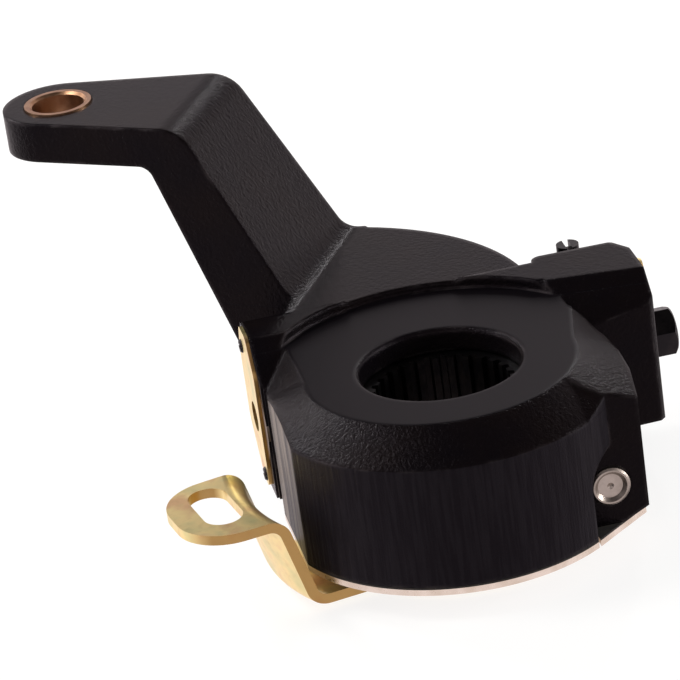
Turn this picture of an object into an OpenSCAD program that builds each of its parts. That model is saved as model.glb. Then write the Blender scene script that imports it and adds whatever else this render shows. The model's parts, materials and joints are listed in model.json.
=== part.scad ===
// Self-setting brake adjuster: cast cranked lever with worm drive, adjusting rack and control arm
// Axes: Z is the camshaft axis, X runs along the worm, the origin is the middle of the camshaft spline
// The heights below are measured from the machined hub face and moved at the end

/* [Hub] */
// Radius of the opening in the hub face
hub_open_r = 20.5; // [20:0.1:21]
// Radius of the drum
drum_r = 45; // [44.5:0.25:46]
// Height of the drum below the hub face
drum_h = 39.3; // [39.3:0.1:40]
// Radius of the machined hub face
face_r = 34.4; // [33:0.2:36]
// Depth of the cast slope round the hub face
slope_h = 7.4; // [6:0.2:9]
// Radius of the spot facing behind the hub face
spot_r = 45.2; // [44.5:0.1:46]
// Height of the raised band above the hub face
band_h = 3; // [2.4:0.1:4]
// Rear edge of the raised band
band_y = 42.5; // [42:0.1:43.5]

/* [Worm drive] */
// Number of worm wheel teeth
wheel_teeth = 23; // [23:1:23]
// Module of the worm drive
drive_module = 2; // [2:0.1:2]
// Pitch radius of the worm
worm_pitch_r = 10; // [9.9:0.05:10.2]
// Height of the worm axis, below the hub face
worm_drop = 19.6; // [19.4:0.1:19.8]
// Face width of the worm wheel teeth
wheel_w = 15; // [14:0.2:15]
// Length of the worm thread
worm_len = 22; // [20:0.5:22]
// Radius of the bore for the worm
worm_bore_r = 12.2; // [12.2:0.05:12.4]
// Radius of the worm shaft journal
shaft_r = 6.9; // [6.8:0.05:7]
// Radius of the shaft neck under the one-way gear
neck_r = 4.6; // [4.5:0.05:4.7]
// Size across the flats of the hexagon end
hex_af = 12; // [11.4:0.1:12.4]
// End of the hexagon, from the camshaft axis
hex_end_x = 68.3; // [66.5:0.1:70]

/* [Camshaft spline] */
// Number of spline teeth
spline_teeth = 28; // [24:1:28]
// Radius over the spline tooth tips
spline_tip_r = 17.2; // [17:0.05:17.4]
// Radius to the bottom of the spline grooves
spline_root_r = 18.6; // [18.4:0.05:18.8]

/* [Adjusting rack] */
// Side position of the rack axis
rack_x = 33.3; // [33.2:0.05:33.4]
// Radius of the round rack bar
rack_r = 5; // [4.9:0.05:5]
// Number of teeth on the one-way gear
gear_teeth = 16; // [16:1:16]
// Face width of the one-way gear teeth
gear_w = 9; // [8:0.2:9]
// Travel of the rack to either side
rack_travel = 7; // [7:0.1:7.2]

/* [Arm] */
// Plan direction of the arm crank
arm_dir = 150.4; // [149:0.2:152]
// Height of the clevis face above the hub face
arm_top = 49; // [46:0.5:52]
// Thickness of the arm end
arm_t = 10.7; // [10:0.1:13]
// Position of the clevis hole along X
clevis_x = -74.8; // [-76:0.2:-74]
// Position of the clevis hole along Y
clevis_y = 103.1; // [102:0.2:104]
// Radius of the arm end
arm_end_r = 14.8; // [13.5:0.1:15.5]
// Height of the arm root above the hub face
root_top = 2; // [1.6:0.1:2.6]
// Depth of the arm root below the hub face
root_drop = 28; // [24:0.5:30]
// Outer radius of the clevis bush
bush_r = 9; // [8.6:0.1:9.4]
// Radius of the clevis pin hole
pin_r = 7; // [6.6:0.1:7.2]

/* [Control arm] */
// Plan direction of the control arm at rest
control_dir = 190; // [188:0.5:192]
// Sheet thickness of the control arm
control_t = 2.6; // [2.4:0.1:2.9]
// Width of the control arm strip
control_w = 31; // [29:0.5:32]
// Distance from the camshaft axis to the end of the control arm
control_reach = 75; // [73:0.5:77]
// Height of the control arm tab, below the hub face
tab_drop = 21; // [19:0.5:23]
// Distance from the camshaft axis to the slot
slot_u = 63.4; // [62.6:0.2:64]
// Length of the slot
slot_len = 21.4; // [18:0.2:21.6]
// Width of the slot
slot_w = 10; // [8.6:0.1:10.2]
// Corner radius of the control arm tab
tab_corner_r = 13; // [11:0.5:14]

/* [Cover] */
// Thickness of the cover plate
cover_t = 1.6; // [1.4:0.1:1.8]
// Thickness of the cover gasket
gasket_t = 0.5; // [0.4:0.05:0.6]
// Width of the drum rim outside the control disc
rim_w = 7; // [7:0.1:7.5]
// Radius of the neck of the control disc
disc_neck_r = 27; // [26.8:0.1:27.2]
// Number of cover screws
cover_screws_n = 5; // [5:1:5]
// Number of control arm rivets
rivets_n = 6; // [5:1:6]

/* [Clearances] */
// Radial clearance of running fits
run_gap = 0.04; // [0.03:0.005:0.06]
// Gap between parts that pass each other
free_gap = 0.4; // [0.35:0.01:0.45]
// Side play of the drive teeth
tooth_play = 0.55; // [0.5:0.05:0.7]

/* [Hidden] */
$fn = 72;
// Overlap that keeps cuts clean
eps = 0.5;
// Worm drive sizes
wheel_pitch_r = wheel_teeth * drive_module / 2;
worm_y = wheel_pitch_r + worm_pitch_r;
worm_z = -worm_drop;
tooth_add = 0.8 * drive_module;
tooth_ded = drive_module;
worm_lead = PI * drive_module;
lead_angle = atan(worm_lead / (2 * PI * worm_pitch_r));
worm_tip_r = worm_pitch_r + tooth_add;
worm_root_r = worm_pitch_r - tooth_ded;
wheel_tip_r = wheel_pitch_r + tooth_add;
wheel_root_r = wheel_pitch_r - tooth_ded;
wheel_top = worm_z + wheel_w / 2;
wheel_bottom = worm_z - wheel_w / 2;
cavity_r = wheel_tip_r + 1;
bearing_top = worm_z - sqrt(pow(worm_tip_r, 2) - pow(worm_y - cavity_r, 2)) - free_gap;
journal_top_r = 22;
journal_low_r = wheel_root_r;
lip_z = -6.1;
seat_z = wheel_top + 0.3;
// Stations along the worm axis
plate_inset = 2;
left_x = -(drum_r - plate_inset);
right_x = 60.6;
plate_t = 0.9;
plate_head_t = 0.6;
seat_t = 3.5;
shaft_left_x = left_x + seat_t + 3.5;
bush_left_x = -20;
thread_end_x = worm_len / 2 + 1.4;
washer_t = 1.6;
washer_r = worm_bore_r - 1;
clutch_end_x = 20;
gear_x = rack_x;
bush_right_x = rack_x + rack_r + free_gap;
seal_x = bush_right_x + 8.5;
plug_x = seal_x + 4.5;
cup_x = clutch_end_x + 0.5;
cup_end_x = rack_x - rack_r - free_gap;
cup_r = 10.4;
coil_r = 8.6;
coil_len = 5;
plug_end_x = right_x + 0.2;
hex_x = plug_x + 1.5;
// Rack sizes
gear_pitch_r = gear_teeth / 2;
rack_pitch_z = worm_z - gear_pitch_r;
rack_z = rack_pitch_z - 1;
gear_add = 0.8;
gear_ded = 1.15;
gear_play = 0.32;
rack_front_y = -9;
rack_flat_y = worm_y - 15.5;
rack_rear_y = worm_y + rack_travel + 5.2;
rack_bore_r = rack_r + run_gap;
rack_bore_end = rack_rear_y + rack_travel + 1.5;
lug_face_y = -29;
rack_plug_y = lug_face_y + 4;
pin_peg_r = 2.5;
notch_play = 0.35;
// Cover stack
base_z = -drum_h;
cover_z = base_z - gasket_t - cover_t;
recess_z = base_z + 2.9;
disc_top = recess_z - 0.3;
disc_low = base_z + 0.2;
disc_r = drum_r - rim_w;
recess_r = disc_r + 0.5;
sleeve_low = disc_top - 1.9;
ring_in_r = 22.5;
frame_z = -(sleeve_low + lip_z - 0.3) / 2;
flat_top = cover_z - 3.1;
control_shift = 0.9;
slot_v = -0.7;
riser_wide = 1.2;
flat_low = flat_top - control_t;
control_ring_r = 33;
riser_u = 50;
riser_lean = 0.253;
bend_r = 3;
rivet_r = 1.6;
rivet_ring_r = (ring_in_r + disc_neck_r) / 2;
cover_hole_r = disc_neck_r + run_gap;
screw_r = 1.5;
screw_ring_r = (recess_r + drum_r) / 2;
screw_top = base_z + 6;
screw_turn = 8;
// Housing outline
lug_x = 42.6;
lug_rear_x = 46;
pocket_side = 5.9;
pocket_r = 8.5;
right_u = 33.75;
right_fall = 0.484;
lug_fall = 0.36;
blend_fall = 0.52;
flat_step = 0.6;
side_x = left_x + flat_step;
lug_in_x = 31;
block_x = 38;
block_step_z = -6;
block_lean = 8.8;
boss_r = worm_bore_r + 3.6;
body_low = -38;
grease_x = 46.5;
grease_y = 49.6;
lock_y = 34.5;
lock_z = -0.6;
right_lean = 12.9;
shoulder_x = -31.2;
shoulder_y = 34.4;
shoulder_r = 64;
root_y = band_y - 2;
near_dir = arm_dir - 5.8;
far_dir = arm_dir + 9.2;
foot_a = 49.5;
crank_a = 74.7;
tail_a = 68.9;
tail_z = -4.8;
crank_low_a = 85.3;
end_a = 140;
crank_r = 10;
foot_r = 6;
under_r = 4;
bush_len = arm_t + 0.4;
bush_mouth = 0.7;
clevis = [clevis_x, clevis_y];
near_pt = clevis - arm_end_r * [sin(near_dir), -cos(near_dir)];
far_pt = clevis + arm_end_r * [sin(far_dir), -cos(far_dir)];
near_foot = near_pt - 68.3 * [cos(near_dir), sin(near_dir)];
far_foot = far_pt - 75 * [cos(far_dir), sin(far_dir)];

// Corner rounding helpers for plane outlines
function unit(v) = v / norm(v);
function turn(a, b, c) = (b[0] - a[0]) * (c[1] - b[1]) - (b[1] - a[1]) * (c[0] - b[0]);
function half_angle(a, b, c) = acos(unit(a - b) * unit(c - b)) / 2;
function tangents(a, b, c, r) = let (d = r / tan(half_angle(a, b, c)))
  [b + unit(a - b) * d, b + unit(c - b) * d];
function round_centre(a, b, c, r) = b + unit(unit(a - b) + unit(c - b)) * r / sin(half_angle(a, b, c));

// Round piece inside one corner of an outline
module corner_round(a, b, c, r) {
  t = tangents(a, b, c, r);
  centre = round_centre(a, b, c, r);
  intersection() {
    translate(centre) circle(r = r);
    polygon([t[0], b, t[1], (t[0] + t[1]) / 2 + (centre - b) * 0.06]);
  }
}

// Outline with rounded corners, points run anticlockwise, one radius per point
module soft_shape(p, r) {
  n = len(p);
  before = [for (i = [0:n - 1]) p[(i + n - 1) % n]];
  after = [for (i = [0:n - 1]) p[(i + 1) % n]];
  difference() {
    union() {
      polygon([for (i = [0:n - 1]) each (r[i] > 0 ? tangents(before[i], p[i], after[i], r[i]) : [p[i]])]);
      for (i = [0:n - 1]) if (r[i] > 0 && turn(before[i], p[i], after[i]) > 0)
        corner_round(before[i], p[i], after[i], r[i]);
    }
    for (i = [0:n - 1]) if (r[i] > 0 && turn(before[i], p[i], after[i]) < 0)
      corner_round(before[i], p[i], after[i], r[i]);
  }
}

// Moves a piece from the hub face to the middle of the camshaft spline
module in_frame() {
  translate([0, 0, frame_z]) children();
}

// Puts children built along Z onto the worm axis, their Z becomes X
module on_worm(x) {
  translate([x, worm_y, worm_z]) rotate([0, 90, 0]) children();
}

// Ring along Z
module ring(out_r, in_r, h) {
  difference() {
    cylinder(r = out_r, h = h);
    translate([0, 0, -eps]) cylinder(r = in_r, h = h + 2 * eps);
  }
}

// Flank of an involute tooth, as points at rising radii
function roll(rb, r) = r <= rb ? 0 : tan(acos(rb / r)) - acos(rb / r) * PI / 180;
function flank_angle(rp, th, r) = let (rb = rp * cos(20))
  (th / (2 * rp) + roll(rb, rp) - roll(rb, r)) * 180 / PI;
function flank(rp, th, root, tip, side) = [for (k = [0:4]) let (r = root + (tip - root) * k / 4)
  r * [cos(flank_angle(rp, th, r)), side * sin(flank_angle(rp, th, r))]];
function reversed(v) = [for (k = [len(v) - 1:-1:0]) v[k]];

// One gear tooth pointing along X
module tooth_shape(rp, th, root, tip) {
  polygon(concat(flank(rp, th, root, tip, -1), reversed(flank(rp, th, root, tip, 1))));
}

// Cast body below the hub face: drum, cast slope, worm housing and lug
module body_solids() {
  translate([0, 0, base_z]) cylinder(r = drum_r, h = drum_h - slope_h);
  translate([0, 0, -slope_h]) cylinder(r1 = drum_r, r2 = face_r, h = slope_h);
  // Slope on the left of the hub face
  rotate([90, 0, 0]) translate([0, 0, -38])
    linear_extrude(height = 38) polygon([[-face_r + 0.4, 0], [left_x + 1, -slope_h],
      [left_x + 1, -24], [0, -24], [0, 0]]);
  // Slope on the right of the hub face, run out over the lug
  intersection() {
    rotate([90, 0, -right_lean]) translate([0, 0, -38]) linear_extrude(height = 76)
      polygon([[right_u, 0], [0, 0], [0, -24], [50, -24], [50, (right_u - 50) * right_fall]]);
    translate([0, 0, -30]) linear_extrude(height = 40)
      polygon([[0, -4], [44.2, -4], [43.3, 3], [40.9, 12.5], [38, 19.2], [37.8, 26], [37.8, 38], [0, 38]]);
  }
  // Slope from the hub face to the lug
  intersection() {
    translate([0, 0, -12]) cylinder(r1 = face_r + 12 / lug_fall, r2 = face_r, h = 12);
    translate([0, 0, -30]) linear_extrude(height = 40)
      polygon([[0, 0], [34.3, lug_face_y], [lug_x, lug_face_y], [44.4, -16], [44.4, -6], [43.3, 3],
        [40.9, 12.5], [0, 12.5]]);
  }
  // Soft run from the lug back to the cast slope
  intersection() {
    translate([20, 0, 0]) rotate([90, 0, 90]) linear_extrude(height = 20)
      polygon([[-38, -14], [-20, -14], [-20, blend_fall], [-38, -17 * blend_fall]]);
    translate([0, 0, -20]) cylinder(r = drum_r - 0.05, h = 30);
    translate([0, 0, -20]) linear_extrude(height = 30) polygon([[0, 0], [20, -44], [37.8, -31.4]]);
  }
  // Worm housing with the raised band
  translate([left_x, 0, 0]) rotate([90, 0, 90]) linear_extrude(height = block_x - left_x)
    polygon([[20, body_low], [40, body_low], [worm_y + boss_r, -29], [worm_y + boss_r, -9],
      [band_y, band_h], [31, band_h], [20, -7]]);
  // Block at the hexagon end, with chamfered corners above the worm bore
  difference() {
    union() {
      translate([0, 0, body_low + 0.5]) linear_extrude(height = block_step_z - body_low)
        polygon([[block_x - 3, 17], [59.2, 18], [right_x, 19.4], [right_x, 45.8], [59.8, 46.6],
          [block_x - 3, 46.6]]);
      translate([0, 0, block_step_z]) linear_extrude(height = band_h - block_step_z)
        soft_shape([[block_x - 3, 17], [59.2, 18], [right_x, 19.4], [right_x, 39.4], [57, 45.4],
          [block_x - 3, 45.8]], [0, 0, 0, 2, 2, 3]);
    }
    // Chamfer along the front of the block
    translate([block_x - 1, 29.3, band_h]) rotate([90, 0, 90 - block_lean]) translate([0, 0, -8])
      linear_extrude(height = 44) polygon([[1, 0.9], [1, 6], [-30, 6], [-30, -10.8], [-12, -10.8]]);
  }
  // Lug for the rack bore
  translate([0, 0, base_z]) linear_extrude(height = -12 - base_z)
    polygon([[lug_in_x, lug_face_y], [lug_x, lug_face_y], [lug_rear_x, 15], [lug_rear_x, 20],
      [lug_in_x, 20]]);
  translate([rack_x, rack_bore_end + 3, rack_z]) rotate([90, 0, 0])
    cylinder(r = rack_bore_r + 3, h = rack_bore_end + 3 - worm_y);
}

// Plan outline of the arm with its root
module arm_plan() {
  translate(clevis) circle(r = arm_end_r);
  polygon([[20, root_y], far_foot, far_pt, near_pt, near_foot, [near_foot[0] - 5.3, root_y]]);
  intersection() {
    translate([shoulder_x, shoulder_y]) circle(r = shoulder_r);
    polygon([[4, root_y + 1], [60, root_y + 1], [60, 100], [-1.5, 100], [-1.5, 70]]);
  }
}

// Side outline of the crank, distance along the arm and height
module arm_side() {
  run = (tail_z + root_drop) * (crank_low_a - tail_a) / (arm_top - arm_t - tail_z);
  soft_shape([[-40, -root_drop], [tail_a - run, -root_drop], [crank_low_a, arm_top - arm_t],
    [end_a, arm_top - arm_t], [end_a, arm_top], [crank_a, arm_top], [foot_a, root_top], [-40, root_top]],
    [0, 0, under_r, 0, 0, crank_r, foot_r, 0]);
}

// Cranked arm
module arm_solid() {
  intersection() {
    translate([0, 0, -60]) linear_extrude(height = 140) arm_plan();
    rotate([0, 0, arm_dir]) translate([0, 150, 0]) rotate([90, 0, 0])
      linear_extrude(height = 300) arm_side();
  }
}

// Cuts in the hub: opening, wheel seat, disc recess
module hub_cuts() {
  translate([0, 0, -12]) cylinder(r = hub_open_r, h = 30);
  translate([0, 0, -0.8]) cylinder(r1 = hub_open_r, r2 = hub_open_r + 1.6, h = 1.6);
  translate([0, 0, seat_z - eps]) cylinder(r = journal_top_r, h = lip_z - seat_z + eps);
  translate([0, 0, base_z]) cylinder(r = cavity_r, h = seat_z - base_z);
  translate([0, 0, base_z - eps]) cylinder(r = recess_r, h = recess_z - base_z + eps);
  cylinder(r = spot_r, h = 30);
}

// Cuts for the worm and the rack
module drive_cuts() {
  on_worm(left_x - eps) cylinder(r = worm_bore_r, h = right_x - left_x + 2 * eps);
  translate([rack_x, rack_bore_end, rack_z]) rotate([90, 0, 0])
    cylinder(r = rack_bore_r, h = rack_bore_end - lug_face_y + 12);
  translate([rack_x - pin_peg_r - free_gap, -rack_travel - pin_peg_r - free_gap, base_z - eps])
    cube([2 * (pin_peg_r + free_gap), 2 * (rack_travel + pin_peg_r + free_gap), rack_z - base_z]);
  // Milled pocket round the rack plug
  translate([0, lug_face_y, 0]) rotate([90, 0, 0]) linear_extrude(height = 30) {
    translate([rack_x - pocket_side + pocket_r, -26]) circle(r = pocket_r);
    translate([rack_x - pocket_side, -60]) square([40, 34]);
    translate([rack_x - pocket_side + pocket_r, -60]) square([40, 34 + pocket_r]);
  }
  // Bevel on the lower corner of the lug
  translate([0, -14, 0]) rotate([90, 0, 0]) linear_extrude(height = 21)
    polygon([[36, base_z], [36, base_z - 2], [49, base_z - 2], [49, base_z + 6.3]]);
  // Flat on the left side of the drum
  translate([side_x - 20, -30, base_z - 1]) cube([20, 51, drum_h + 1]);
}

// Positions of the cover screws
module at_cover_screws() {
  for (i = [0:cover_screws_n - 1]) rotate([0, 0, screw_turn + i * 360 / cover_screws_n])
    translate([screw_ring_r, 0, 0]) children();
}

// Positions of the end plate screws, along X
module at_plate_screws() {
  for (p = [[39, -2], [28.3, -34]]) translate([left_x, p[0], p[1]]) rotate([0, 90, 0]) children();
}

// Cast lever, painted black
module housing() {
  color("#1c1b1d") in_frame() difference() {
    union() {
      body_solids();
      arm_solid();
      // Ledge for the grease plug
      translate([grease_x - 6, 43, -14]) cube([12, 11, 13]);
    }
    hub_cuts();
    drive_cuts();
    translate([clevis_x, clevis_y, 0]) cylinder(r = bush_r, h = 80);
    at_cover_screws() translate([0, 0, base_z - eps]) cylinder(r = screw_r, h = screw_top - base_z + eps);
    at_plate_screws() translate([0, 0, -eps]) cylinder(r = screw_r, h = 7 + eps);
    translate([grease_x, grease_y, -9]) cylinder(r = 2, h = 20);
    translate([right_x - 6, lock_y, lock_z]) rotate([0, 90, 0]) cylinder(r = 1.2, h = 10);
  }
}

// Bronze bush in the clevis hole
module clevis_bush() {
  color("#b08a4a") in_frame() translate([clevis_x, clevis_y, arm_top - arm_t]) difference() {
    ring(bush_r, pin_r, bush_len);
    translate([0, 0, bush_len - bush_mouth]) cylinder(r1 = pin_r, r2 = pin_r + bush_mouth, h = bush_mouth);
  }
}

// Yellow end plate on the worm housing
module end_plate() {
  color("#d8c27a") in_frame() difference() {
    translate([left_x - plate_t, 0, 0]) rotate([90, 0, 90]) linear_extrude(height = plate_t)
      soft_shape([[25, -31], [26.2, -37], [32, -36.8], [43.4, -24], [43.4, -4], [39.6, band_h + 0.6],
        [31, band_h + 0.6], [25, -5]], [4, 2, 4, 6, 4, 2, 3, 5]);
    on_worm(left_x - plate_t - eps) cylinder(r = 4, h = plate_t + 2 * eps);
    at_plate_screws() translate([0, 0, -plate_t - eps]) cylinder(r = screw_r, h = plate_t + 2 * eps);
  }
}

// Screws of the end plate
module end_plate_screws() {
  color("#3b3a3c") in_frame() at_plate_screws() {
    translate([0, 0, -plate_t]) cylinder(r = screw_r, h = plate_t + 6);
    difference() {
      translate([0, 0, -plate_t - plate_head_t]) cylinder(r1 = 1.5, r2 = 1.9, h = plate_head_t);
      translate([0, 0, -plate_t - plate_head_t]) cube([0.7, 6, 0.6], center = true);
    }
  }
}

// Seat of the clutch spring behind the end plate
module spring_seat() {
  color("#8d8f93") in_frame() on_worm(left_x) ring(worm_bore_r, 3.6, seat_t);
}

// Coil along Z with round wire
module coil(mean_r, wire_r, pitch, turns, steps) {
  span = 360 * wire_r / pitch;
  outer = [for (k = [0:6]) let (t = -span + k * span / 3)
    (mean_r + sqrt(max(0, 1 - pow(t / span, 2))) * wire_r) * [cos(t), sin(t)]];
  inner = [for (k = [5:-1:1]) let (t = -span + k * span / 3)
    (mean_r - sqrt(max(0, 1 - pow(t / span, 2))) * wire_r) * [cos(t), sin(t)]];
  linear_extrude(height = pitch * turns, twist = -360 * turns, slices = steps * turns, $fn = 8)
    polygon(concat(outer, inner));
}

// Clutch spring between its seat and the left bush
module clutch_spring() {
  span_x = bush_left_x - left_x - seat_t;
  color("#77797d") in_frame() on_worm(left_x + seat_t + 1.6) coil(9.4, 1.3, (span_x - 3.2) / 4, 4, 16);
}

// Left bush of the worm shaft
module worm_bush_left() {
  bush_len = -bush_left_x - thread_end_x - washer_t - 0.1;
  color("#a8823f") in_frame() on_worm(bush_left_x) ring(worm_bore_r, shaft_r + run_gap, bush_len);
}

// Thrust washer beside the worm
module thrust_washer() {
  color("#9a9ca0") in_frame() on_worm(-thread_end_x - washer_t - 0.1)
    ring(washer_r, shaft_r + free_gap, washer_t);
}

// Right bush of the worm shaft
module worm_bush_right() {
  color("#a8823f") in_frame() on_worm(bush_right_x)
    ring(worm_bore_r, neck_r + run_gap, seal_x - bush_right_x);
}

// Lip seal of the worm shaft
module worm_seal() {
  color("#2a2826") in_frame() on_worm(seal_x) difference() {
    ring(worm_bore_r, neck_r + free_gap, plug_x - seal_x);
    translate([0, 0, 2]) ring(9.5, neck_r + 1.6, 5);
  }
}

// Threaded plug that closes the worm bore
module bearing_plug() {
  color("#8d8f93") in_frame() on_worm(plug_x) difference() {
    ring(worm_bore_r, 8, plug_end_x - plug_x);
    for (a = [0:60:300]) rotate([0, 0, a]) translate([10.1, 0, plug_end_x - plug_x - 3])
      cylinder(r = 1.2, h = 4);
  }
}

// Lock screw beside the bearing plug
module lock_screw() {
  color("#b99a55") in_frame() translate([right_x - 6, lock_y, lock_z]) rotate([0, 90, 0]) {
    cylinder(r = 1.2, h = 6);
    difference() {
      translate([0, 0, 6]) cylinder(r1 = 2.6, r2 = 2, h = 1.6);
      translate([0, 0, 7.6]) cube([0.7, 6, 1.4], center = true);
    }
  }
}

// Dished plug in the rack bore
module rack_plug() {
  color("#c9ccd0") in_frame() translate([rack_x, rack_plug_y, rack_z]) rotate([90, 0, 0])
    rotate_extrude() polygon([[0, 1.6], [1.4, 1.6], [1.4, 0], [rack_bore_r, 0], [rack_bore_r, 4.6],
      [rack_bore_r - 0.5, 5], [4.1, 5], [3.2, 4.1], [0.9, 4.3], [0, 3.7]]);
}

// Bearing ring under the worm wheel
module wheel_bearing() {
  color("#a8823f") in_frame() translate([0, 0, recess_z + 0.2])
    ring(cavity_r, journal_low_r, bearing_top - recess_z - 0.2);
}

// Outline shared by the cover plate and its gasket
module cover_outline(in_r) {
  difference() {
    union() {
      circle(r = drum_r);
      polygon(drum_r * [[0.609, -0.793], [0.96, -0.5], [0.96, 0.275], [0.44, 0.27]]);
    }
    circle(r = in_r);
    translate([rack_x - pocket_side, lug_face_y - 8]) square([0.6, 4]);
    translate([side_x - 20, -30]) square([20, 60]);
  }
}

// Pale cover plate under the drum
module cover_plate() {
  color("#cfcbc0") in_frame() difference() {
    translate([0, 0, cover_z]) linear_extrude(height = cover_t) cover_outline(cover_hole_r);
    at_cover_screws() translate([0, 0, cover_z - eps]) cylinder(r = screw_r, h = cover_t + 2 * eps);
    at_cover_screws() translate([0, 0, cover_z]) cylinder(r1 = screw_r + cover_t, r2 = screw_r, h = cover_t);
  }
}

// Gasket between drum and cover plate
module cover_gasket() {
  color("#4a4640") in_frame() difference() {
    translate([0, 0, base_z - gasket_t]) linear_extrude(height = gasket_t) cover_outline(recess_r);
    at_cover_screws() translate([0, 0, base_z - gasket_t - eps])
      cylinder(r = screw_r, h = gasket_t + 2 * eps);
  }
}

// Countersunk screws of the cover plate
module cover_screws() {
  color("#9fa1a4") in_frame() at_cover_screws() difference() {
    union() {
      translate([0, 0, cover_z]) cylinder(r = screw_r, h = screw_top - cover_z - 1);
      translate([0, 0, cover_z]) cylinder(r1 = screw_r + cover_t, r2 = screw_r, h = cover_t);
    }
    translate([0, 0, cover_z]) cylinder(r = 1.3, h = 2, $fn = 6, center = true);
  }
}

// Slotted grease plug behind the block
module grease_plug() {
  color("#b99a55") in_frame() translate([grease_x, grease_y, -9]) {
    cylinder(r = 2, h = 8);
    difference() {
      translate([0, 0, 8]) cylinder(r = 3, h = 4);
      translate([0, 0, 12]) cube([1.6, 8, 4], center = true);
    }
  }
}

// Worm wheel with the splined camshaft bore
module worm_wheel() {
  color("#6e7074") in_frame() difference() {
    union() {
      translate([0, 0, sleeve_low]) cylinder(r = journal_low_r - run_gap, h = worm_z - sleeve_low);
      translate([0, 0, wheel_bottom]) cylinder(r = wheel_root_r + 0.02, h = wheel_w);
      translate([0, 0, worm_z]) cylinder(r = wheel_root_r + 0.02, h = wheel_top - worm_z);
      translate([0, 0, wheel_top - 0.2])
        cylinder(r = journal_top_r - run_gap, h = lip_z - 0.3 - wheel_top + 0.2);
      for (i = [0:wheel_teeth - 1]) rotate([0, 0, 90 + i * 360 / wheel_teeth]) translate([0, 0, worm_z])
        rotate([lead_angle, 0, 0]) linear_extrude(height = wheel_w - 0.4, center = true)
          tooth_shape(wheel_pitch_r, worm_lead / 2 - tooth_play, wheel_root_r - 1.2, wheel_tip_r);
    }
    translate([0, 0, sleeve_low - eps]) linear_extrude(height = lip_z - sleeve_low + 2 * eps) spline_hole();
    translate([0, 0, lip_z - 2.2]) rotate_extrude()
      translate([journal_top_r - 0.9, 0]) square([2, 1.6], center = true);
  }
}

// Splined hole: tip circle with grooves
module spline_hole() {
  groove = PI * (spline_tip_r + spline_root_r) / 2 / spline_teeth;
  circle(r = spline_tip_r);
  for (i = [0:spline_teeth - 1]) rotate([0, 0, i * 360 / spline_teeth])
    polygon([[spline_tip_r - 1, -groove / 2 - 0.3], [spline_root_r, -groove / 2 + 0.25],
      [spline_root_r, groove / 2 - 0.25], [spline_tip_r - 1, groove / 2 + 0.3]]);
}

// Ring seal on the worm wheel
module hub_seal() {
  color("#26241f") in_frame() translate([0, 0, lip_z - 2.2]) rotate_extrude()
    translate([journal_top_r - 1.1, 0]) circle(r = 0.8);
}

// Section of the single-start thread
function thread_r(s) = let (half = worm_lead / 4 - tooth_play / 2)
  let (tip = half - tooth_add * tan(20), foot = half + tooth_ded * tan(20))
  abs(s) <= tip ? worm_tip_r : abs(s) >= foot ? worm_root_r
  : worm_tip_r + (worm_root_r - worm_tip_r) * (abs(s) - tip) / (foot - tip);

// Worm thread centred on Z
module worm_thread() {
  swing = 360 * worm_len / worm_lead;
  steps = round(worm_len / worm_lead * 16);
  linear_extrude(height = worm_len, center = true, twist = -swing, slices = steps, $fn = 8)
    rotate([0, 0, 90 - swing / 2])
      polygon([for (k = [-15:14]) thread_r(k * worm_lead / 30) * [cos(k * 12), sin(k * 12)]]);
}

// Worm shaft
module worm_shaft() {
  color("#7c7e82") in_frame() on_worm(0) {
    worm_thread();
    for (m = [0, 1]) mirror([0, 0, m]) translate([0, 0, worm_len / 2 - 0.4])
      cylinder(r = worm_root_r + 0.35, h = 1.8);
    translate([0, 0, shaft_left_x]) cylinder(r = shaft_r, h = clutch_end_x - shaft_left_x);
    cylinder(r = neck_r, h = hex_end_x - 2);
  }
}

// Clutch wheel on the worm shaft, with a cone and face teeth
module clutch_wheel() {
  color("#85827c") in_frame() on_worm(thread_end_x) difference() {
    union() {
      cylinder(r1 = 10, r2 = 11.6, h = 4);
      translate([0, 0, 4]) cylinder(r = 11.6, h = 2.4);
      cylinder(r = 9.2, h = clutch_end_x - thread_end_x);
    }
    translate([0, 0, -eps]) cylinder(r = shaft_r, h = 12);
    for (i = [0:11]) rotate([0, 0, i * 30]) translate([10.6, 0, 6.4]) cube([3, 1.6, 1.6], center = true);
  }
}

// Hexagon end pressed on the shaft
module hex_end() {
  hex_len = hex_end_x - hex_x;
  color("#232224") in_frame() on_worm(hex_x) difference() {
    intersection() {
      rotate([0, 0, 12]) cylinder(r = hex_af / 2 / cos(30), h = hex_len, $fn = 6);
      rotate_extrude() polygon([[0, 0], [7.5, 0], [7.5, hex_len - 1.4], [5.6, hex_len], [0, hex_len]]);
    }
    translate([0, 0, -eps]) cylinder(r = neck_r, h = hex_len - 2 + eps);
  }
}

// One-way gear, driven by the rack
module one_way_gear() {
  color("#8a8378") in_frame() on_worm(gear_x - gear_w / 2) difference() {
    union() {
      cylinder(r = gear_pitch_r - gear_ded, h = gear_w);
      for (i = [0:gear_teeth - 1]) rotate([0, 0, i * 360 / gear_teeth]) linear_extrude(height = gear_w)
        tooth_shape(gear_pitch_r, PI / 2 - gear_play, gear_pitch_r - gear_ded - 0.6,
          gear_pitch_r + gear_add);
      translate([0, 0, cup_x - gear_x + gear_w / 2]) cylinder(r = cup_r, h = cup_end_x - cup_x);
      translate([0, 0, -2]) cylinder(r = gear_pitch_r - gear_ded, h = 3);
    }
    translate([0, 0, -20]) cylinder(r = neck_r + run_gap, h = 60);
    translate([0, 0, clutch_end_x - gear_x + gear_w / 2]) cylinder(r = coil_r, h = coil_len + 1);
  }
}

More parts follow.
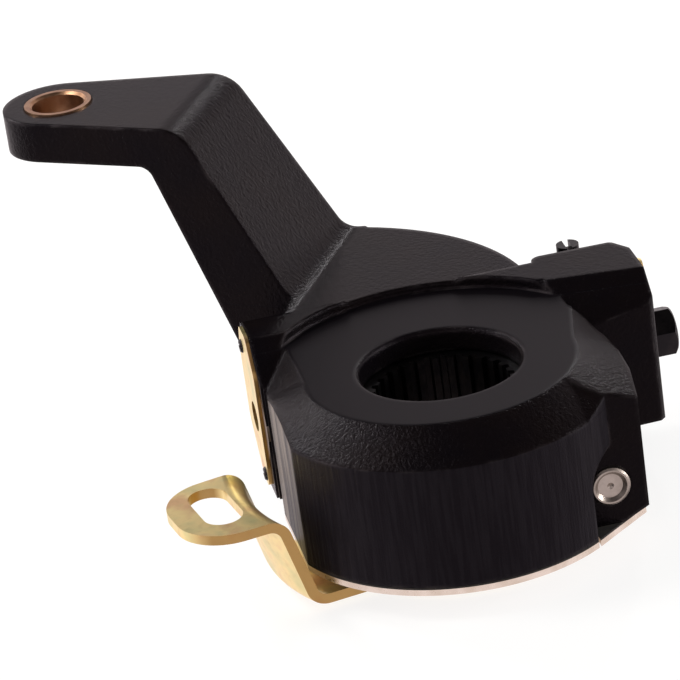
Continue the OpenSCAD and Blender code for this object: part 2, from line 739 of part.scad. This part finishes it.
// Close-wound spring of the one-way clutch, inside the gear cup
module one_way_spring() {
  turns = [for (k = [0:4]) each
    [[coil_r - 0.3, k], [coil_r, k + 0.3], [coil_r, k + 0.7], [coil_r - 0.3, k + 1]]];
  color("#77797d") in_frame() on_worm(cup_x) rotate_extrude()
    polygon(concat([[6.6, 0]], turns, [[6.6, coil_len]]));
}

// Round rack bar with teeth and the peg for the control disc
module rack() {
  tip_z = rack_pitch_z + gear_add;
  low_z = rack_pitch_z - gear_ded;
  thick = PI / 2 - gear_play;
  foot = gear_ded + 0.3;
  color("#8a8c90") in_frame() {
    intersection() {
      translate([rack_x, rack_rear_y, rack_z]) rotate([90, 0, 0])
        cylinder(r = rack_r, h = rack_rear_y - rack_front_y);
      translate([rack_x - 10, 0, 0]) rotate([90, 0, 90]) linear_extrude(height = 20) {
        polygon([[rack_front_y - 1, rack_z - 9], [rack_rear_y + 1, rack_z - 9], [rack_rear_y + 1, low_z],
          [rack_flat_y, low_z], [rack_flat_y, rack_z + 9], [rack_front_y - 1, rack_z + 9]]);
        for (k = [-4:3]) translate([worm_y + (k + 0.5) * PI, rack_pitch_z])
          polygon([[-thick / 2 - foot * tan(20), -foot], [thick / 2 + foot * tan(20), -foot],
            [thick / 2 - gear_add * tan(20), gear_add], [-thick / 2 + gear_add * tan(20), gear_add]]);
      }
    }
    translate([rack_x, 0, disc_low + 0.3]) cylinder(r = pin_peg_r, h = rack_z - disc_low - 0.3);
  }
}

// Return spring of the rack
module rack_spring() {
  span_y = rack_front_y - rack_plug_y;
  color("#9a9ca0") in_frame() translate([rack_x, rack_front_y - 0.9, rack_z]) rotate([90, 0, 0])
    coil(3.5, 0.6, (span_y - 1.8) / 5, 5, 12);
}

// Control disc with the notch for the rack peg
module control_disc() {
  color("#8f9094") in_frame() difference() {
    union() {
      translate([0, 0, disc_low]) ring(disc_r, ring_in_r, disc_top - disc_low);
      translate([0, 0, flat_top]) ring(disc_neck_r, ring_in_r, disc_low - flat_top + eps);
    }
    translate([disc_neck_r + 1.8, -pin_peg_r - notch_play, disc_low - eps])
      cube([20, 2 * (pin_peg_r + notch_play), disc_top - disc_low + 2 * eps]);
    at_rivets() translate([0, 0, flat_top - eps]) cylinder(r = rivet_r, h = 3 + eps);
  }
}

// Positions of the rivets
module at_rivets() {
  for (i = [0:rivets_n - 1]) rotate([0, 0, control_dir + 30 + i * 360 / rivets_n])
    translate([rivet_ring_r, 0, 0]) children();
}

// Side outline of the control arm, distance from the axis and height
module control_side() {
  rise = -tab_drop - flat_top;
  lean = riser_lean * rise;
  inner_u = riser_u + control_t * (riser_lean - sqrt(1 + riser_lean * riser_lean));
  difference() {
    soft_shape([[0, flat_low], [riser_u, flat_low], [riser_u + lean, -tab_drop - control_t],
      [100, -tab_drop - control_t], [100, 20], [0, 20]], [0, bend_r + control_t, bend_r, 0, 0, 0]);
    soft_shape([[-1, flat_top], [inner_u, flat_top], [inner_u + lean, -tab_drop], [101, -tab_drop],
      [101, 21], [-1, 21]], [0, bend_r, bend_r + control_t, 0, 0, 0]);
  }
}

// Plan outline of the control arm
module control_plan() {
  difference() {
    union() {
      circle(r = control_ring_r);
      translate([0, control_shift]) soft_shape([[0, -control_w / 2 - riser_wide],
        [riser_u + 6, -control_w / 2 - riser_wide], [control_reach, -control_w / 2],
        [control_reach, control_w / 2], [0, control_w / 2]], [0, 8, tab_corner_r, tab_corner_r, 0]);
    }
    circle(r = ring_in_r);
    translate([slot_u, slot_v]) {
      for (s = [-1, 1]) translate([0, s * (slot_len - slot_w) / 2]) circle(r = slot_w / 2);
      square([slot_w, slot_len - slot_w], center = true);
    }
  }
}

// Control arm, one sheet with its riser curved round the camshaft axis
module control_arm() {
  color("#d9c98a") in_frame() difference() {
    rotate([0, 0, control_dir]) intersection() {
      translate([0, 0, -70]) linear_extrude(height = 70) control_plan();
      rotate_extrude() control_side();
    }
    at_rivets() translate([0, 0, flat_low - eps]) cylinder(r = rivet_r, h = control_t + 2 * eps);
  }
}

// Rivets that join the control arm to the disc
module control_rivets() {
  color("#9fa1a4") in_frame() at_rivets() {
    translate([0, 0, flat_low]) cylinder(r = rivet_r, h = flat_top - flat_low + 2.6);
    translate([0, 0, flat_low - 1.3]) cylinder(r1 = 1.8, r2 = 2.7, h = 1.3);
  }
}

housing();
clevis_bush();
end_plate();
end_plate_screws();
spring_seat();
clutch_spring();
worm_bush_left();
thrust_washer();
worm_bush_right();
worm_seal();
bearing_plug();
lock_screw();
rack_plug();
wheel_bearing();
cover_plate();
cover_gasket();
cover_screws();
grease_plug();
worm_wheel();
hub_seal();
worm_shaft();
clutch_wheel();
hex_end();
one_way_gear();
one_way_spring();
rack();
rack_spring();
control_disc();
control_arm();
control_rivets();
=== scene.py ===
import bpy
import json
import math
from mathutils import Matrix, Vector


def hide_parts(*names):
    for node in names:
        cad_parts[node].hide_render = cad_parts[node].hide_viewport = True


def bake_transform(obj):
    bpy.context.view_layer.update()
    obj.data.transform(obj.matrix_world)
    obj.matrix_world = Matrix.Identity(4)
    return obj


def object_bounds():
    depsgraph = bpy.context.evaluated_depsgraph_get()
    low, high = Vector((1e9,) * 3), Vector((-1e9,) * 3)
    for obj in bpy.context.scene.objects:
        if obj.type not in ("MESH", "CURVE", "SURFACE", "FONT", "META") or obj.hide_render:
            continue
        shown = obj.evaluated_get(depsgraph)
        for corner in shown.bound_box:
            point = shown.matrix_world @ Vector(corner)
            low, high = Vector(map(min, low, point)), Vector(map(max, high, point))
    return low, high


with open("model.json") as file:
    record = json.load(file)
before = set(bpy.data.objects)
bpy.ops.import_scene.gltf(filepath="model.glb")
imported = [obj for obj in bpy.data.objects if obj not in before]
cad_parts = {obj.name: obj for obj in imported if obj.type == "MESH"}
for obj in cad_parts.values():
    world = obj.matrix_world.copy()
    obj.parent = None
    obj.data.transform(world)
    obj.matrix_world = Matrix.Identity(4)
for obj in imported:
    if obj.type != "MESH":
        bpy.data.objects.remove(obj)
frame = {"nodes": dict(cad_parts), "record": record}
nodes = frame["nodes"]
boxAtStart = [list(corner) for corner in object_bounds()]
print("frame loaded:", len(nodes), "pieces")

mm = 0.001
noiseSpan = (0.3, 0.7)  # most values of a noise texture lie between these
plainWhite = (1, 1, 1, 1)


def linearColour(hexText):
    channels = [int(hexText[i:i + 2], 16) / 255 for i in (1, 3, 5)]
    return [c / 12.92 if c <= 0.04045 else ((c + 0.055) / 1.055) ** 2.4 for c in channels] + [1]


# The inputs are a list in socket order or a dictionary by socket: sockets are linked, values are set
# A colour Mix takes its factor at socket 0 and its colours at 6 and 7, and gives the result at output 2
def addNode(tree, kind, inputs=(), **settings):
    node = tree.nodes.new("ShaderNode" + kind)
    for name, value in settings.items():
        setattr(node, name, value)
    for key, value in inputs.items() if isinstance(inputs, dict) else enumerate(inputs):
        if isinstance(value, bpy.types.NodeSocket):
            tree.links.new(value, node.inputs[key])
        else:
            node.inputs[key].default_value = value
    return node


def newMaterial(name, colour, metallic, roughness):
    material = bpy.data.materials.new(name)
    material.use_nodes = True
    tree = material.node_tree
    tree.nodes.clear()
    shader = addNode(tree, "BsdfPrincipled", {
        "Base Color": linearColour(colour), "Metallic": metallic, "Roughness": roughness})
    addNode(tree, "OutputMaterial", {"Surface": shader.outputs["BSDF"]})
    return material, tree, shader


# Black paint over cast iron: grainy cast skin, edges rubbed pale with painted glints, painted reflection and
# highlight streaks on the drum
paint = {
    # The drum's two colours are lighter than the cast paint: a painted reflection of the satin drum, lighter
    # still in streaks
    "colour": "#0d0a0d", "brown": "#120d0d", "slopeTone": "#17100d", "turned": "#171418", "drumReflectionStreak": "#1e1b1f",
    # The pale edge colour is rubbed wear and painted glints; the pale streak colour is a painted highlight on
    # the drum's flat
    "wornGlint": "#3b3536", "drumFlatHighlight": "#857a71", "sheen": "#ffecfa", "specular": 0.047,
    "roughness": 0.36, "castRoughness": (0.15, 0.25),
    "grain": 1.1 * mm, "fine": 0.4 * mm, "fineShare": 0.5,  # sand grain, drawn coarse enough to show
    "streak": 1.1 * mm, "highlightStreakWidth": 6 * mm, "stretch": 0.07,  # tool marks and painted highlight streaks, drawn coarse enough to show
    "patch": 22 * mm, "wearGlintGaps": 9 * mm, "edge": 1.8 * mm,  # brown patches, gaps in the edge wear and painted glints, edge radius
    "castDepth": 0.24 * mm, "flatDepth": 0.084 * mm, "faceDepth": 0.01 * mm, "drumDepth": 0.16 * mm,
    "faceZ": 22.5 * mm, "drumRadius": 45 * mm, "flatX": -42.4 * mm,  # machined places
    "near": 0.1 * mm, "nearRound": 0.15 * mm, "roundOut": 44 * mm, "flatFacing": -0.95,
    "topFacing": (0.9, 0.99),  # the skin grows smoother where it faces up
    "slopeFrom": 40 * mm, "slopeTo": 48 * mm, "slopeTurn": (-0.3, -0.55), "slopeLift": (0.35, 0.6),
    "patchSpan": (0.35, 0.65), "streakSpan": (0.4, 0.6), "slopeToneSpan": (0.3, 0.6), "slopeToneShare": (0.3, 1),
    "edgeBend": (0.975, 0.93), "wearGlintSpan": (0.48, 0.7), "highlightSpan": (0.42, 0.6), "highlightShare": (0, 0.8)}


def blackPaint():
    material, tree, shader = newMaterial(
        "satin black paint on cast iron", paint["colour"], 0.0, paint["roughness"])
    shader.inputs["Specular IOR Level"].default_value = paint["specular"]
    shader.inputs["Specular Tint"].default_value = linearColour(paint["sheen"])
    place = addNode(tree, "TexCoord").outputs
    point, normal = place["Object"], place["Normal"]
    at = addNode(tree, "SeparateXYZ", [point]).outputs
    facing = addNode(tree, "SeparateXYZ", [normal]).outputs

    # Machined places: the hub face, the round of the drum and the flat on its left
    onFace = addNode(tree, "Math", [at["Z"], paint["faceZ"], paint["near"]], operation="COMPARE").outputs[0]
    spoke = addNode(tree, "VectorMath", [point, (1, 1, 0)], operation="MULTIPLY").outputs["Vector"]
    radius = addNode(tree, "VectorMath", [spoke], operation="LENGTH").outputs["Value"]
    atRound = addNode(tree, "Math", [radius, paint["drumRadius"], paint["nearRound"]], operation="COMPARE")
    outward = addNode(tree, "VectorMath", [normal, point], operation="DOT_PRODUCT").outputs["Value"]
    facesOut = addNode(tree, "Math", [outward, paint["roundOut"]], operation="GREATER_THAN")
    onRound = addNode(tree, "Math", [
        atRound.outputs[0], facesOut.outputs[0]], operation="MULTIPLY").outputs[0]
    atFlat = addNode(tree, "Math", [at["X"], paint["flatX"], paint["near"]], operation="COMPARE")
    facesLeft = addNode(tree, "Math", [facing["X"], paint["flatFacing"]], operation="LESS_THAN")
    onFlat = addNode(tree, "Math", [
        atFlat.outputs[0], facesLeft.outputs[0]], operation="MULTIPLY").outputs[0]
    onDrum = addNode(tree, "Math", [onRound, onFlat], operation="MAXIMUM").outputs[0]
    machined = addNode(tree, "Math", [onFace, onDrum], operation="MAXIMUM").outputs[0]
    cast = addNode(tree, "Math", [1, machined], operation="SUBTRACT").outputs[0]

    # Relief: sand grain on the cast skin, shallower where it faces up, and upright tool marks on the drum
    coarse = addNode(tree, "TexNoise", {
        "Vector": point, "Scale": 1 / paint["grain"], "Detail": 4}).outputs["Fac"]
    fine = addNode(tree, "TexNoise", {
        "Vector": point, "Scale": 1 / paint["fine"], "Detail": 2}).outputs["Fac"]
    tall = addNode(tree, "Mapping", {"Vector": point, "Scale": (1, 1, paint["stretch"])}).outputs["Vector"]
    streaks = addNode(tree, "TexNoise", {
        "Vector": tall, "Scale": 1 / paint["streak"], "Detail": 2}).outputs["Fac"]
    castDepth = addNode(tree, "MapRange", [
        facing["Z"], *paint["topFacing"], paint["castDepth"], paint["flatDepth"]]).outputs["Result"]
    finePart = addNode(tree, "Math", [fine, paint["fineShare"]], operation="MULTIPLY").outputs[0]
    castGrain = addNode(tree, "Math", [coarse, finePart], operation="ADD").outputs[0]
    castHeight = addNode(tree, "Math", [castGrain, castDepth], operation="MULTIPLY").outputs[0]
    faceHeight = addNode(tree, "Math", [fine, paint["faceDepth"]], operation="MULTIPLY").outputs[0]
    drumGrain = addNode(tree, "Math", [streaks, finePart], operation="ADD").outputs[0]
    drumHeight = addNode(tree, "Math", [drumGrain, paint["drumDepth"]], operation="MULTIPLY").outputs[0]
    height = addNode(tree, "Math", [castHeight, cast], operation="MULTIPLY").outputs[0]
    for share, mask in ((faceHeight, onFace), (drumHeight, onDrum)):
        height = addNode(tree, "Math", [share, mask, height], operation="MULTIPLY_ADD").outputs[0]
    softEdge = addNode(tree, "Bevel", {"Radius": paint["edge"]}, samples=8).outputs["Normal"]
    bump = addNode(tree, "Bump", {"Strength": 1, "Distance": 1, "Height": height, "Normal": softEdge})
    tree.links.new(bump.outputs["Normal"], shader.inputs["Normal"])

    # Gloss: uneven on the cast skin, even where the iron was machined
    uneven = addNode(tree, "MapRange", [coarse, *noiseSpan, *paint["castRoughness"]]).outputs["Result"]
    castGloss = addNode(tree, "Math", [uneven, cast], operation="MULTIPLY").outputs[0]
    gloss = addNode(tree, "Math", [machined, paint["roughness"], castGloss], operation="MULTIPLY_ADD")
    tree.links.new(gloss.outputs[0], shader.inputs["Roughness"])

    # Colour: brown patches on the cast skin, and on the drum a painted reflection, lighter in streaks
    patchNoise = addNode(tree, "TexNoise", {"Vector": point, "Scale": 1 / paint["patch"], "Detail": 3})
    patches = addNode(tree, "MapRange", [patchNoise.outputs["Fac"], *paint["patchSpan"], 0, 1])
    onCast = addNode(tree, "Math", [patches.outputs["Result"], cast], operation="MULTIPLY").outputs[0]
    drumReflectionStreaks = addNode(tree, "MapRange", [streaks, *paint["streakSpan"], 0, 1]).outputs["Result"]

    # A browner tone in specks on the front slope of the arm, pale edges of rubbed wear and painted glints,
    # and painted highlight streaks on the drum's flat
    onSlope = addNode(tree, "MapRange", [
        at["Y"], paint["slopeFrom"], paint["slopeTo"], 0, 1]).outputs["Result"]
    for way, span in (("Z", "slopeLift"), ("Y", "slopeTurn")):
        turned = addNode(tree, "MapRange", [facing[way], *paint[span], 0, 1]).outputs["Result"]
        onSlope = addNode(tree, "Math", [turned, onSlope], operation="MULTIPLY").outputs[0]
    slopeSpeckle = addNode(tree, "MapRange", [fine, *paint["slopeToneSpan"], *paint["slopeToneShare"]]).outputs["Result"]
    slopeToned = addNode(tree, "Math", [onSlope, slopeSpeckle], operation="MULTIPLY").outputs[0]
    # Pale edges: rubbed wear, and at the same time painted glints along the edges
    straight = addNode(tree, "NewGeometry").outputs["Normal"]
    bend = addNode(tree, "VectorMath", [straight, softEdge], operation="DOT_PRODUCT").outputs["Value"]
    onEdge = addNode(tree, "MapRange", [bend, *paint["edgeBend"], 0, 1]).outputs["Result"]
    wearGlintNoise = addNode(tree, "TexNoise", {"Vector": point, "Scale": 1 / paint["wearGlintGaps"], "Detail": 6})
    wearGlintBreaks = addNode(tree, "MapRange", [wearGlintNoise.outputs["Fac"], *paint["wearGlintSpan"], 0, 1])
    wornAndGlinting = addNode(tree, "Math", [onEdge, wearGlintBreaks.outputs["Result"]], operation="MULTIPLY").outputs[0]
    # Painted highlight: pale upright streaks on the drum's flat, where it would catch the light
    highlightNoise = addNode(tree, "TexNoise", {"Vector": tall, "Scale": 1 / paint["highlightStreakWidth"], "Detail": 5})
    highlightStreaks = addNode(tree, "MapRange", [
        highlightNoise.outputs["Fac"], *paint["highlightSpan"], *paint["highlightShare"]])
    paintedHighlight = addNode(tree, "Math", [onFlat, highlightStreaks.outputs["Result"]], operation="MULTIPLY").outputs[0]
    castCoat = addNode(tree, "Mix", {
        0: onCast, 6: linearColour(paint["colour"]), 7: linearColour(paint["brown"])}, data_type="RGBA")
    # Painted reflection: the drum is coloured lighter than the cast paint, lighter still in upright streaks
    drumReflectionCoat = addNode(tree, "Mix", {
        0: drumReflectionStreaks, 6: linearColour(paint["turned"]), 7: linearColour(paint["drumReflectionStreak"])}, data_type="RGBA")
    coat = addNode(tree, "Mix", {
        0: onDrum, 6: castCoat.outputs[2], 7: drumReflectionCoat.outputs[2]}, data_type="RGBA").outputs[2]
    for mask, colour in ((slopeToned, "slopeTone"), (wornAndGlinting, "wornGlint"), (paintedHighlight, "drumFlatHighlight")):
        coat = addNode(tree, "Mix", {
            0: mask, 6: coat, 7: linearColour(paint[colour])}, data_type="RGBA").outputs[2]
    tree.links.new(coat, shader.inputs["Base Color"])
    return material


# Yellow passivated zinc: pale gold with green and pink films, and browner on the sheared edges
zinc = {
    "colour": "#ffeaa6", "green": "#d8d69a", "pink": "#e0a981", "brown": "#9c7640",
    "roughness": 0.32, "gloss": (0.3, 0.36), "film": 9 * mm, "speck": 2.5 * mm, "grain": 0.6 * mm,
    "greenSpan": (0.5, 0.7), "greenShare": (0, 0.7), "pinkSpan": (0.47, 0.3), "pinkShare": (0, 0.6),
    "speckSpan": (0.5, 0.8), "speckShare": (0, 0.22), "edgeSpan": (0.35, 0.8), "edgeShare": (0, 0.85),
    "edgeWay": (0.174, -0.985, 0), "bump": 0.1, "depth": 0.01 * mm}  # edgeWay points across the sheared edges


def yellowZinc():
    material, tree, shader = newMaterial("yellow passivated zinc", zinc["colour"], 1.0, zinc["roughness"])
    place = addNode(tree, "TexCoord").outputs
    film, speck, grain = (addNode(tree, "TexNoise", {
        "Vector": place["Object"], "Scale": 1 / zinc[size], "Detail": detail}).outputs["Fac"]
        for size, detail in (("film", 2), ("speck", 3), ("grain", 2)))
    tint = linearColour(zinc["colour"])
    for colour in ("green", "pink"):
        share = addNode(tree, "MapRange", [film, *zinc[colour + "Span"], *zinc[colour + "Share"]])
        tint = addNode(tree, "Mix", {
            0: share.outputs["Result"], 6: tint, 7: linearColour(zinc[colour])}, data_type="RGBA").outputs[2]
    specks = addNode(tree, "MapRange", [speck, *zinc["speckSpan"], *zinc["speckShare"]]).outputs["Result"]
    across = addNode(tree, "VectorMath", [place["Normal"], zinc["edgeWay"]], operation="DOT_PRODUCT")
    sideways = addNode(tree, "Math", [across.outputs["Value"]], operation="ABSOLUTE").outputs[0]
    onEdge = addNode(tree, "MapRange", [sideways, *zinc["edgeSpan"], *zinc["edgeShare"]]).outputs["Result"]
    browned = addNode(tree, "Math", [specks, onEdge], operation="MAXIMUM").outputs[0]
    skin = addNode(tree, "Mix", {0: browned, 6: tint, 7: linearColour(zinc["brown"])}, data_type="RGBA")
    gloss = addNode(tree, "MapRange", [grain, *noiseSpan, *zinc["gloss"]])
    bump = addNode(tree, "Bump", {"Strength": zinc["bump"], "Distance": zinc["depth"], "Height": grain})
    tree.links.new(skin.outputs[2], shader.inputs["Base Color"])
    tree.links.new(gloss.outputs["Result"], shader.inputs["Roughness"])
    tree.links.new(bump.outputs["Normal"], shader.inputs["Normal"])
    return material


# Plain metals, turned or plated: a grain, drawn coarse enough to show, breaks up their gloss
# A faint tarnish lies on them in patches
metals = {
    "bronze": {"name": "turned bronze", "colour": "#a37f62", "tarnish": "#8f6a4f", "roughness": 0.34,
               "patch": 3 * mm, "grain": 0.6 * mm, "depth": 0.004 * mm},
    "steel": {"name": "machined steel", "colour": "#a69d94", "tarnish": "#8d857c", "roughness": 0.34,
              "patch": 5 * mm, "grain": 0.7 * mm, "depth": 0.004 * mm},
    "bright_steel": {"name": "pale plated steel", "colour": "#e8ddcf", "tarnish": "#d6c9b8", "roughness": 0.3,
                     "patch": 6 * mm, "grain": 0.6 * mm, "depth": 0.003 * mm},
    "dark_steel": {"name": "blackened steel", "colour": "#211f21", "tarnish": "#2b2829", "roughness": 0.4,
                   "patch": 4 * mm, "grain": 0.6 * mm, "depth": 0.004 * mm},
    "wheel_iron": {"name": "machined iron", "colour": "#232224", "tarnish": "#2d2a2a", "roughness": 0.42,
                   "patch": 4 * mm, "grain": 0.8 * mm, "depth": 0.006 * mm}}

# Moulded rubber with a dull bloom, and pressed fibre with a coarse, matt surface
soft = {
    "seal_rubber": {"name": "moulded seal rubber", "colour": "#121112", "tarnish": "#1b1a1b",
                    "roughness": 0.6, "patch": 3 * mm, "grain": 0.5 * mm, "depth": 0.01 * mm},
    "gasket": {"name": "pressed fibre gasket", "colour": "#1b1917", "tarnish": "#29251f", "roughness": 0.85,
               "patch": 1.5 * mm, "grain": 0.4 * mm, "depth": 0.02 * mm}}

grainy = {"smoother": 0.06, "rougher": 0.08, "patchSpan": (0.4, 0.65)}


def grainyFinish(values, metallic):
    material, tree, shader = newMaterial(values["name"], values["colour"], metallic, values["roughness"])
    point = addNode(tree, "TexCoord").outputs["Object"]
    grain = addNode(tree, "TexNoise", {
        "Vector": point, "Scale": 1 / values["grain"], "Detail": 2}).outputs["Fac"]
    gloss = addNode(tree, "MapRange", [
        grain, *noiseSpan, values["roughness"] - grainy["smoother"], values["roughness"] + grainy["rougher"]])
    patchNoise = addNode(tree, "TexNoise", {"Vector": point, "Scale": 1 / values["patch"], "Detail": 3})
    patches = addNode(tree, "MapRange", [patchNoise.outputs["Fac"], *grainy["patchSpan"], 0, 1])
    skin = addNode(tree, "Mix", {
        0: patches.outputs["Result"], 6: linearColour(values["colour"]), 7: linearColour(values["tarnish"])},
        data_type="RGBA")
    bump = addNode(tree, "Bump", {"Strength": 1, "Distance": values["depth"], "Height": grain})
    tree.links.new(skin.outputs[2], shader.inputs["Base Color"])
    tree.links.new(gloss.outputs["Result"], shader.inputs["Roughness"])
    tree.links.new(bump.outputs["Normal"], shader.inputs["Normal"])
    return material


finishes = {"black_paint": blackPaint(), "yellow_zinc": yellowZinc()}
for metallic, family in ((1.0, metals), (0.0, soft)):
    for slot, values in family.items():
        finishes[slot] = grainyFinish(values, metallic)
for entry in frame["record"]["subparts"]:
    piece = nodes[entry["node"]].data
    piece.materials.clear()
    piece.materials.append(finishes[entry["material_slot"]])
print("finishes made:", len(finishes))

# The rack presses its return spring together, one end in the lever and the other with the rack; here the
# spring is a still copy of its mesh, and the original piece is hidden
returnSpring = bpy.data.objects.new("return_spring", nodes["rack_spring"].data.copy())
bpy.context.scene.collection.objects.link(returnSpring)
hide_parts("rack_spring")
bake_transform(returnSpring)

# Pale floor just below the object: white, also in reflections, and to the camera it keeps the object's shadow
floor = {"height": boxAtStart[0][2] - 0.3 * mm, "size": 6.0, "colour": "#d4d1cd", "roughness": 0.9,
         "tint": "#fff3f6", "white": 0.65, "strength": 1.26}
bpy.ops.mesh.primitive_plane_add(size=floor["size"], location=(0, 0, floor["height"]))
floorPiece = bpy.context.object
floorPiece.name = "floor"
floorMaterial, floorTree, floorShader = newMaterial(
    "pale studio floor", floor["colour"], 0.0, floor["roughness"])
floorRay = addNode(floorTree, "LightPath").outputs
floorGlow = addNode(floorTree, "MapRange", [floorRay["Is Camera Ray"], 0, 1, 1, floor["strength"]])
floorTint = addNode(floorTree, "Mix", {
    0: floorRay["Is Camera Ray"], 6: linearColour(floor["tint"]), 7: plainWhite}, data_type="RGBA")
floorWhite = addNode(floorTree, "Emission", {
    "Color": floorTint.outputs[2], "Strength": floorGlow.outputs["Result"]})
floorSeen = addNode(floorTree, "Math", [
    floorRay["Is Camera Ray"], floor["white"]], operation="MULTIPLY").outputs[0]
for kindOfRay in ("Is Glossy Ray", "Is Transmission Ray"):
    floorSeen = addNode(floorTree, "Math", [floorSeen, floorRay[kindOfRay]], operation="MAXIMUM").outputs[0]
floorMix = addNode(floorTree, "MixShader", [
    floorSeen, floorShader.outputs["BSDF"], floorWhite.outputs["Emission"]])
seeThrough = addNode(floorTree, "BsdfTransparent")  # from below the floor lets the object show
fromBelow = addNode(floorTree, "NewGeometry").outputs["Backfacing"]
floorSides = addNode(floorTree, "MixShader", [
    fromBelow, floorMix.outputs["Shader"], seeThrough.outputs["BSDF"]])
floorTree.links.new(floorSides.outputs["Shader"], floorTree.nodes["Material Output"].inputs["Surface"])
floorPiece.data.materials.append(floorMaterial)
print("floor laid")

# White backdrop all round that metal shows too, dim only overhead, with an even light of its own
tent = {"light": 0.42, "tint": "#fff3f6", "overhead": 0.08, "whiteTo": 0.45, "dimFrom": 0.76}
world = bpy.data.worlds.new("studio tent")
bpy.context.scene.world = world
world.use_nodes = True
tentTree = world.node_tree
tentTree.nodes.clear()
direction = addNode(tentTree, "TexCoord").outputs["Generated"]
climb = addNode(tentTree, "SeparateXYZ", [direction]).outputs["Z"]
tentRay = addNode(tentTree, "LightPath").outputs
tentFade = addNode(tentTree, "MapRange", [climb, tent["whiteTo"], tent["dimFrom"], 1, tent["overhead"]])
tentGlow = addNode(tentTree, "Math", [
    tentRay["Is Camera Ray"], tentFade.outputs["Result"]], operation="MAXIMUM")
tentTint = addNode(tentTree, "Mix", {
    0: tentRay["Is Camera Ray"], 6: linearColour(tent["tint"]), 7: plainWhite}, data_type="RGBA")
tentLight = addNode(tentTree, "Background", {"Color": plainWhite, "Strength": tent["light"]})
backdrop = addNode(tentTree, "Background", {"Color": tentTint.outputs[2], "Strength": tentGlow.outputs[0]})
tentSeen = tentRay["Is Camera Ray"]
for kindOfRay in ("Is Glossy Ray", "Is Transmission Ray"):
    tentSeen = addNode(tentTree, "Math", [tentSeen, tentRay[kindOfRay]], operation="MAXIMUM").outputs[0]
tentMix = addNode(tentTree, "MixShader", [
    tentSeen, tentLight.outputs["Background"], backdrop.outputs["Background"]])
addNode(tentTree, "OutputWorld", {"Surface": tentMix.outputs["Shader"]})
print("backdrop set")

# Soft boxes: a key from the upper left, low ones at the left and right, two behind for glints on the folds
softBoxes = [
    {"name": "key", "place": (-0.62, 0.12, 0.8), "aim": (0, 0, 0.01), "size": (0.35, 0.35), "watts": 3.5},
    {"name": "left", "place": (-0.95, 0.25, 0.12), "aim": (0, 0, 0), "size": (0.2, 0.6), "watts": 4},
    {"name": "right", "place": (1.0, -0.12, 0.22), "aim": (0, 0, 0), "size": (0.3, 0.3), "watts": 6},
    {"name": "crest", "place": (0.49, 0.94, 0.7), "aim": (-0.03, 0.06, 0.06), "size": (0.1, 0.1), "watts": 2},
    {"name": "left behind", "place": (-0.48, 0.68, 0.6), "aim": (-0.03, 0, 0.02), "size": (0.2, 0.2),
     "watts": 4}]
for values in softBoxes:
    lamp = bpy.data.lights.new(values["name"], "AREA")
    lamp.shape = "RECTANGLE"
    lamp.size, lamp.size_y = values["size"]
    lamp.energy = values["watts"]
    lampPiece = bpy.data.objects.new(values["name"], lamp)
    bpy.context.scene.collection.objects.link(lampPiece)
    lampPiece.location = values["place"]
    beam = Vector(values["aim"]) - Vector(values["place"])
    lampPiece.rotation_euler = beam.to_track_quat("-Z", "Y").to_euler()
print("studio lights:", len(softBoxes))

# Camera at the angle of the photo: it falls below level, turns to the right and rolls, all in degrees
view = {"place": (-157.43 * mm, -893.51 * mm, 442.8 * mm), "fall": 24.331, "turn": 8.484, "roll": -8.159,
        "lens": 211.76, "sensor": 36.0, "clipStart": 0.05, "clipEnd": 20}
fall, turn, roll = (math.radians(view[key]) for key in ("fall", "turn", "roll"))
ahead = Vector((math.sin(turn) * math.cos(fall), math.cos(turn) * math.cos(fall), -math.sin(fall)))
level = Vector((math.cos(turn), -math.sin(turn), 0))
upright = level.cross(ahead)
right = level * math.cos(roll) + upright * math.sin(roll)
up = upright * math.cos(roll) - level * math.sin(roll)
cameraData = bpy.data.cameras.new("photo camera")
cameraData.lens = view["lens"]
cameraData.sensor_width = view["sensor"]
cameraData.clip_start = view["clipStart"]
cameraData.clip_end = view["clipEnd"]
camera = bpy.data.objects.new("photo camera", cameraData)
bpy.context.scene.collection.objects.link(camera)
camera.matrix_world = Matrix.Translation(view["place"]) @ Matrix((right, up, -ahead)).transposed().to_4x4()
bpy.context.scene.camera = camera
bpy.context.scene.view_settings.view_transform = "Standard"
print("camera set")
